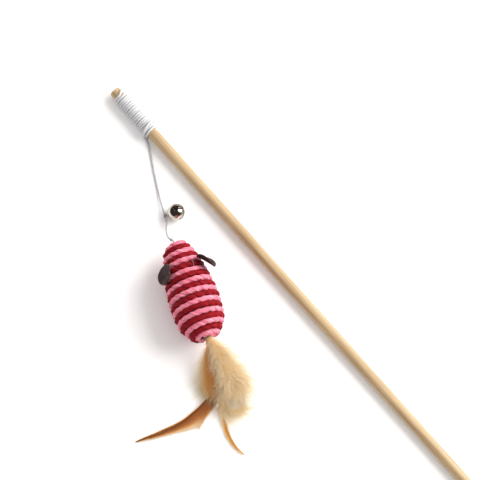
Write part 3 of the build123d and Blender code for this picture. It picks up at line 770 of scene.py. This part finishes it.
def makeBarbTree():
    # rows of barbs on both sides of a feather's shaft, each a fine tapered hair that bends to the tip
    tree, ask, add = newTree("barbRows", {
        "Barbs": 200, "Points": 7, "Forward": 0.8, "Forward bend": 0.1, "Outward": 0.62,
        "Outward bend": 0.1, "Droop": 0.0, "Spread": 0.2, "Stray": 0.05, "Curl": 0.05, "Curl size": 2.0,
        "Clump": 0.5, "Clumps": 20.0, "Root radius": 0.0002, "Tip radius": 0.04 * mm,
        "Root scatter": 0.0, "Table": barbLimits["table"] * mm, "Seed": 1})
    shaft = add("GeometryNodeMeshToCurve", {"Mesh": ask["Geometry"]})
    kept = add("GeometryNodeResampleCurve", {"Curve": shaft, "Count": ask["Barbs"]})
    for label, form, kind in (("station", "FLOAT", "GeometryNodeSplineParameter"),
                              ("rootPlace", "FLOAT_VECTOR", "GeometryNodeInputPosition"),
                              ("heading", "FLOAT_VECTOR", "GeometryNodeInputTangent")):
        kept = add("GeometryNodeStoreNamedAttribute",
                   {"Geometry": kept, "Name": label, "Value": add(kind)}, data_type=form)
    barbLine = add("GeometryNodeCurvePrimitiveLine", {"Start": (0, 0, 0), "End": (1, 0, 0)})
    barb = add("GeometryNodeResampleCurve", {"Curve": barbLine, "Count": ask["Points"]})
    index = add("GeometryNodeInputIndex")
    both = add("GeometryNodeJoinGeometry")
    for label, hand, shift in (("rightBarb", 1.0, barbLimits["rightSeed"]),
                               ("leftBarb", -1.0, barbLimits["leftSeed"])):
        seed = add("ShaderNodeMath", [ask["Seed"], shift], "ADD")
        chance = add("FunctionNodeRandomValue", {"ID": index, "Seed": seed}).outputs[1]
        aim = add("FunctionNodeRandomValue", {0: (-1, -1, -1), 1: (1, 1, 1), "ID": index, "Seed": seed},
                  data_type="FLOAT_VECTOR")
        reach = add("GeometryNodeInputNamedAttribute", [label])
        even = add("ShaderNodeMath", [chance, 0.5], "SUBTRACT")
        vary = add("ShaderNodeMath", [even, ask["Spread"], 1.0], "MULTIPLY_ADD")
        long = add("ShaderNodeMath", [reach, vary], "MULTIPLY")
        row = kept
        for name, form, value in (("chance", "FLOAT", chance), ("barbReach", "FLOAT", long),
                                  ("hand", "FLOAT", hand), ("aim", "FLOAT_VECTOR", aim)):
            row = add("GeometryNodeStoreNamedAttribute", {"Geometry": row, "Name": name, "Value": value},
                      data_type=form)
        chosen = add("FunctionNodeCompare", [long, barbLimits["least"] * mm], "GREATER_THAN")
        placed = add("GeometryNodeInstanceOnPoints", {"Points": row, "Selection": chosen, "Instance": barb})
        feed(both, [placed])
    rows = add("GeometryNodeRealizeInstances", [both])
    read = {label: add("GeometryNodeInputNamedAttribute", [label], data_type=form)
            for form, labels in (("FLOAT_VECTOR", ("rootPlace", "heading", "side", "aim")),
                                 ("FLOAT", ("barbReach", "hand", "station", "chance"))) for label in labels}
    factor = add("GeometryNodeSplineParameter").outputs["Factor"]
    square = add("ShaderNodeMath", [factor, factor], "MULTIPLY")
    # what grows along a barb, evenly or ever faster
    grown = {label: add("ShaderNodeMath", [growth, ask[label]], "MULTIPLY") for label, growth in (
        ("Forward bend", square), ("Outward", factor), ("Outward bend", square), ("Droop", square),
        ("Stray", square), ("Curl", factor), ("Curl size", factor))}
    forward = add("ShaderNodeMath", [factor, ask["Forward"], grown["Forward bend"]], "MULTIPLY_ADD")
    outward = add("ShaderNodeMath", [grown["Outward"], grown["Outward bend"]], "SUBTRACT")
    handed = add("ShaderNodeMath", [outward, read["hand"]], "MULTIPLY")
    # neighbouring barbs lean together, so the vane splits here and there
    split = add("ShaderNodeMath", [read["station"], ask["Clumps"], read["hand"]], "MULTIPLY_ADD")
    splitNoise = add("ShaderNodeTexNoise", {"W": split, "Scale": 1.0, "Detail": 2.0}, noise_dimensions="1D")
    splitEven = add("ShaderNodeMath", [splitNoise, 0.5], "SUBTRACT")
    splitSize = add("ShaderNodeMath", [splitEven, ask["Clump"]], "MULTIPLY")
    forwardAll = add("ShaderNodeMath", [splitSize, square, forward], "MULTIPLY_ADD")
    normal = add("ShaderNodeVectorMath", [read["heading"], read["side"]], "CROSS_PRODUCT")
    alongPlace = add("ShaderNodeCombineXYZ", {"X": grown["Curl size"]})
    curlPlace = add("ShaderNodeVectorMath", [read["aim"], (9.0, 9.0, 9.0), alongPlace], "MULTIPLY_ADD")
    curlNoise = add("ShaderNodeTexNoise", {"Vector": curlPlace, "Scale": 1.0, "Detail": 2.0})
    curlEven = add("ShaderNodeVectorMath", [curlNoise.outputs["Color"], (0.5, 0.5, 0.5)], "SUBTRACT")
    total = None
    for axis, amount in ((read["heading"], forwardAll), (read["side"], handed), (normal, grown["Droop"]),
                         (read["aim"], grown["Stray"]), (curlEven, grown["Curl"])):
        move = add("ShaderNodeVectorMath", {0: axis, "Scale": amount}, "SCALE")
        total = add("ShaderNodeVectorMath", [total, move], "ADD") if total else move
    sized = add("ShaderNodeVectorMath", {0: total, "Scale": read["barbReach"]}, "SCALE")
    scatter = add("ShaderNodeVectorMath", {0: read["aim"], "Scale": ask["Root scatter"]}, "SCALE")
    rootPlace = add("ShaderNodeVectorMath", [scatter, read["rootPlace"]], "ADD")
    final = add("ShaderNodeVectorMath", [sized, rootPlace], "ADD")
    # barbs that would go through the table lie on it, one over another
    layer = add("ShaderNodeMath", [read["chance"], barbLimits["layer"] * mm, ask["Table"]], "MULTIPLY_ADD")
    apart = add("ShaderNodeSeparateXYZ", [final])
    lifted = add("ShaderNodeMath", [apart.outputs["Z"], layer], "MAXIMUM")
    resting = add("ShaderNodeCombineXYZ", [apart.outputs["X"], apart.outputs["Y"], lifted])
    bent = add("GeometryNodeSetPosition", {"Geometry": rows, "Position": resting})
    named = add("GeometryNodeStoreNamedAttribute", {"Geometry": bent, "Name": "barb", "Value": factor})
    width = add("ShaderNodeMapRange", {0: factor, 3: ask["Root radius"], 4: ask["Tip radius"]})
    ring = add("GeometryNodeCurvePrimitiveCircle", {"Resolution": 3, "Radius": 1.0})
    hairs = add("GeometryNodeCurveToMesh", {"Curve": named, "Profile Curve": ring, "Scale": width,
                                            "Fill Caps": True})
    return closeTree(tree, hairs, ask["Material"])


barbTree = makeBarbTree()
shaftSteps = 8


def shaftMesh(name, shafts):
    # lines of points for feather shafts, each with its right and left barb length and its roll
    places, edges, sides, rows = [], [], [], []
    for shaft in shafts:
        line = smoothRows([(*row, 0)[:6] for row in shaft], shaftSteps)
        spots = [Vector(row[:3]) * mm for row in line]
        edges += [(len(places) + i, len(places) + i + 1) for i in range(len(spots) - 1)]
        for i, row in enumerate(line):
            ahead = (spots[min(i + 1, len(spots) - 1)] - spots[max(i - 1, 0)]).normalized()
            side = ahead.cross(worldUp).normalized()
            sides += list(Matrix.Rotation(math.radians(row[5]), 3, ahead) @ side)
        places += spots
        rows += line
    mesh = bpy.data.meshes.new(name)
    mesh.from_pydata(places, edges, [])
    mesh.attributes.new("side", "FLOAT_VECTOR", "POINT").data.foreach_set("vector", sides)
    for label, column in (("rightBarb", 3), ("leftBarb", 4)):
        values = [max(0.0, row[column]) * mm for row in rows]
        mesh.attributes.new(label, "FLOAT", "POINT").data.foreach_set("value", values)
    return newObject(name, mesh)


def makeBarbMaterial(name, stops, surface, mottle, attribute="barb"):
    # barb fibre: colour runs along the barb or the shaft, with a little change from barb to barb
    material, shader, add = newMaterial(name, surface)
    run = add("ShaderNodeAttribute", attribute_name=attribute).outputs["Fac"]
    chance = add("ShaderNodeAttribute", attribute_name="chance").outputs["Fac"]
    place = add("ShaderNodeTexCoord").outputs["Object"]
    patch = add("ShaderNodeTexNoise", {"Vector": place, "Scale": 1 / 0.004, "Detail": 3.0})
    vary = add("ShaderNodeMath", [chance, patch], "ADD")
    even = add("ShaderNodeMath", [vary, 1.0], "SUBTRACT")
    shifted = add("ShaderNodeMath", [even, mottle, run], "MULTIPLY_ADD")
    ramp = setStops(add("ShaderNodeValToRGB", [shifted]), stops)
    feed(shader, {"Base Color": ramp})
    return material


hairSurface = {"Roughness": 0.6, "Specular IOR Level": 0.15, "Sheen Weight": 0.6, "Sheen Roughness": 0.5,
               "Sheen Tint": hexColour("FFDDA6")}
hornSurface = {"Roughness": 0.4, "Specular IOR Level": 0.4}
# vane of a cock's feather: glossy rust by the shaft, paling to orange cream at the barb tips
rustMaterial = makeBarbMaterial("rust feather vane", [
    (0.0, "7A4418"), (0.28, "9A5624"), (0.48, "BC7A3E"), (0.66, "E4AC70"), (0.85, "FDE0B4")],
    hairSurface, 0.16)
# the soft tan barbs low on the same feather
tanMaterial = makeBarbMaterial("tan feather base", [
    (0.0, "DE8F42"), (0.4, "EAA254"), (0.75, "F2B66C"), (1.0, "FBD094")], hairSurface, 0.3)
# slim feather: pale straw, darker by the shaft
strawMaterial = makeBarbMaterial("straw feather vane", [
    (0.0, "C88A44"), (0.35, "ECB468"), (0.8, "FACC88"), (1.0, "FFE4B0")], hairSurface, 0.3)
# down: very fine cream hairs that scatter the light
downMaterial = makeBarbMaterial("cream down", [
    (0.0, "FFD48E"), (0.35, "FFE3AC"), (0.75, "FFF0CE"), (1.0, "FFF8E6")],
    {**hairSurface, "Roughness": 0.7, "Sheen Weight": 1.0}, 0.3)
# shafts: horn, slightly glossy, dark brown in the rust feather and pale where the down grows
darkHorn = makeBarbMaterial("dark feather shaft horn", [
    (0.0, "5A3413"), (0.5, "70461C"), (1.0, "8C602E")], hornSurface, 0.4, "along")
paleHorn = makeBarbMaterial("pale feather shaft horn", [
    (0.0, "B07A40"), (0.5, "C48E54"), (1.0, "D8AC74")], hornSurface, 0.4, "along")

# each feather starts at the tail plug, a little off the lure's axis
quillStart = 76.8
plugPoint, slimPoint, plumePoint = [
    list(onLure(quillStart, side, up) / mm) for side, up in ((-0.8, 0.2), (0.6, -1.8), (1.4, 1.2))]

# Shaft rows are x, y, z, right barb, left barb and any roll. A quill is its radius, taper and finish.
# The barbs' settings give what differs from the tree's own.
feathers = {
    "longFeatherVane": {
        "material": rustMaterial, "slot": "feather_rust", "hides": ["feather_long"],
        "shafts": [
            [(191.0, 87.2, 1.6, 0.5, 3), (188.4, 88.2, 0.9, 1.0, 7), (186.9, 89.0, 0.3, 1.4, 15),
             (187.2, 91.6, -0.6, 1.4, 19), (187.5, 97.0, -1.2, 1.6, 18), (186.7, 104.1, -1.7, 2.0, 13),
             (186.3, 111.4, -2.1, 2.8, 10), (186.5, 119.2, -2.5, 3.4, 7.5), (188.3, 128.2, -2.8, 3.6, 5.4),
             (191.8, 139.0, -3.0, 2.6, 3.6), (195.1, 147.3, -3.2, 1.5, 2.1), (197.2, 153.0, -3.3, 0.6, 0.8)]],
        "quill": (0.5, 0.8, darkHorn),
        "barbs": {"Barbs": 480, "Points": 9, "Forward": 0.36, "Forward bend": 0.62, "Outward": 0.92,
                  "Outward bend": 0.34, "Spread": 0.14, "Stray": 0.03, "Clumps": 26.0,
                  "Root radius": 0.17 * mm, "Tip radius": 0.05 * mm, "Seed": 3}},
    "longFeatherBase": {
        "material": tanMaterial, "slot": "feather_rust",
        "shafts": [
            [(*plugPoint, 4, 2), (214.0, 72.3, 14.4, 8, 4), (208.8, 75.4, 11.5, 11, 6),
             (203.6, 79.1, 8.4, 12, 7), (198.2, 82.9, 5.6, 12, 8), (193.4, 86.1, 3.0, 11, 8),
             (189.0, 88.0, 1.0, 9, 7), (186.6, 88.6, 0.4, 5, 5)]],
        "quill": (0.3, 0.2, paleHorn),
        "barbs": {"Barbs": 520, "Points": 8, "Forward": 0.78, "Forward bend": 0.15, "Outward bend": 0.12,
                  "Droop": 0.05, "Spread": 0.5, "Stray": 0.12, "Curl": 0.15, "Curl size": 2.5,
                  "Clumps": 18.0, "Root scatter": 0.3 * mm, "Root radius": 0.13 * mm, "Seed": 8}},
    "longFeatherFringe": {
        "material": downMaterial, "slot": "down_cream",
        "shafts": [
            [(213.0, 73.0, 13.9, 7, 0, 20), (208.8, 75.4, 11.0, 12, 0, 20), (203.6, 79.1, 7.8, 15.5, 0, 20),
             (198.2, 82.9, 5.0, 16.5, 0, 20), (193.4, 86.1, 2.4, 15, 0, 15), (189.0, 88.0, 0.6, 11, 0, 10),
             (186.6, 88.8, 0.0, 6, 0, 0)]],
        "barbs": {"Barbs": 1000, "Points": 9, "Forward": 0.55, "Outward": 0.8, "Droop": 0.12,
                  "Spread": 0.7, "Stray": 0.25, "Curl": 0.5, "Curl size": 3.5, "Clump": 0.6,
                  "Clumps": 22.0, "Root scatter": 0.8 * mm, "Root radius": 0.08 * mm,
                  "Tip radius": 0.028 * mm, "Seed": 21}},
    "slimFeatherVane": {
        "material": strawMaterial, "slot": "feather_tan", "hides": ["feather_slim"],
        "shafts": [
            [(*slimPoint, 0.3, 0.3), (208.2, 74.5, 9.4, 0.5, 0.5), (197.6, 80.9, 2.2, 1.5, 1.5),
             (185.8, 87.0, -2.3, 3.5, 3.5), (179.6, 91.0, -2.9, 4.5, 4), (174.0, 94.6, -3.0, 5.5, 4.5),
             (168.0, 97.6, -3.1, 6, 4.5), (159.8, 101.2, -3.1, 5, 4), (152.6, 102.9, -3.2, 4, 3),
             (146.5, 103.1, -3.3, 2.4, 2), (141.5, 102.4, -3.4, 0.8, 0.7)]],
        "quill": (0.35, 0.6, darkHorn),
        "barbs": {"Barbs": 360, "Forward bend": 0.2, "Outward": 0.5, "Outward bend": 0.15,
                  "Spread": 0.25, "Curl": 0.08, "Root radius": 0.14 * mm, "Seed": 33}},
    "downPlume": {
        "material": downMaterial, "slot": "down_cream", "hides": ["down_plume"],
        "shafts": [
            [(*plumePoint, 2, 2), (212.1, 70.2, 13.5, 4, 6), (203.1, 72.3, 9.0, 5, 10),
             (194.2, 75.0, 5.5, 6, 13), (186.6, 78.0, 2.5, 7, 12), (181.0, 80.4, 0.6, 8, 8),
             (177.4, 81.6, -0.4, 7, 6)],
            [(*plumePoint, 1.5, 2), (212.7, 70.6, 15.5, 6, 8), (205.8, 71.0, 14.5, 9, 11),
             (196.5, 72.0, 12.5, 12, 12), (187.5, 72.8, 9.5, 12, 13), (180.0, 74.4, 7.0, 9, 11),
             (176.0, 76.0, 5.4, 7, 8)],
            [(*plumePoint, 1.5, 2), (213.1, 71.1, 15.8, 3, 6), (205.4, 73.1, 15.2, 4, 9),
             (196.0, 75.7, 13.0, 5, 12), (187.4, 78.6, 10.0, 6, 11), (181.4, 81.0, 7.8, 6, 8),
             (177.8, 83.0, 6.0, 6, 6)],
            [(*plumePoint, 2, 2), (212.6, 71.6, 13.0, 5, 5), (205.4, 74.0, 10.5, 5, 9),
             (197.3, 77.6, 7.6, 5, 12), (188.8, 82.0, 4.6, 6, 12), (182.4, 86.2, 2.6, 6, 8),
             (178.2, 88.6, 1.4, 5, 6)],
            [(*plumePoint, 1.5, 2), (212.9, 69.5, 15.0, 6, 7), (206.4, 68.4, 13.0, 8, 8),
             (198.0, 68.4, 10.0, 11, 8), (189.8, 68.0, 7.2, 11, 9), (183.0, 69.0, 5.2, 8, 8),
             (179.0, 70.4, 4.0, 6, 7)]],
        "quill": (0.16, 0.7, paleHorn),
        "barbs": {"Barbs": 440, "Forward": 0.66, "Outward bend": 0.08, "Droop": -0.1, "Spread": 1.2,
                  "Stray": 0.45, "Curl": 1.0, "Curl size": 1.8, "Clump": 2.6, "Clumps": 34.0,
                  "Root scatter": 1.2 * mm, "Root radius": 0.1 * mm, "Tip radius": 0.034 * mm,
                  "Seed": 55}},
    "downWisps": {
        "material": downMaterial, "slot": "down_cream",
        "shafts": [
            [(183.6, 88.6, 0.0, 12, 0), (178.4, 90.1, -1.0, 14, 6), (172.0, 89.7, -2.0, 12, 9),
             (166.7, 84.6, -2.5, 6, 11)],
            [(192.0, 84.2, 2.4, 6, 5), (186.0, 86.4, 0.0, 8, 7), (180.0, 88.8, -1.6, 9, 8),
             (174.5, 90.8, -2.6, 8, 8)],
            [(184.4, 71.8, 6.0, 3, 8), (180.0, 72.4, 3.4, 5, 10), (176.6, 74.6, 1.2, 6, 12),
             (174.0, 78.4, -0.6, 8, 11)]],
        "barbs": {"Barbs": 190, "Points": 8, "Forward": 0.85, "Outward": 0.45, "Droop": -0.05,
                  "Spread": 1.0, "Stray": 0.3, "Curl": 0.6, "Curl size": 2.5, "Clump": 1.0,
                  "Clumps": 9.0, "Root scatter": 1.2 * mm, "Root radius": 0.095 * mm,
                  "Tip radius": 0.035 * mm, "Seed": 77}},
}
quillStrand = {"Step": 0.6 * mm, "Twist": 1.0, "Sides": 12, "Lobes": 4.0, "Lobe depth": 0.05,
               "Swell length": 12 * mm, "Crease": 0.05 * mm, "Crease count": 1.0, "Seed": 5.0}


def makeFeather(name, feather):
    holder = shaftMesh(name + "Shaft", feather["shafts"])
    piece = growMesh(name, holder, barbTree, feather["barbs"], feather["material"])
    giveTo(piece, "tail", feather["slot"], *feather.get("hides", ()))
    if "quill" in feather:
        radius, taper, horn = feather["quill"]
        line = [Vector(row[:3]) * mm for row in smoothRows(feather["shafts"][0], shaftSteps)]
        quill = growStrand(name + "Quill", line, {**quillStrand, "Radius": radius * mm, "Taper": taper}, horn)
        giveTo(quill, "tail", feather["slot"])


for name, feather in feathers.items():
    makeFeather(name, feather)
print("feathers made")
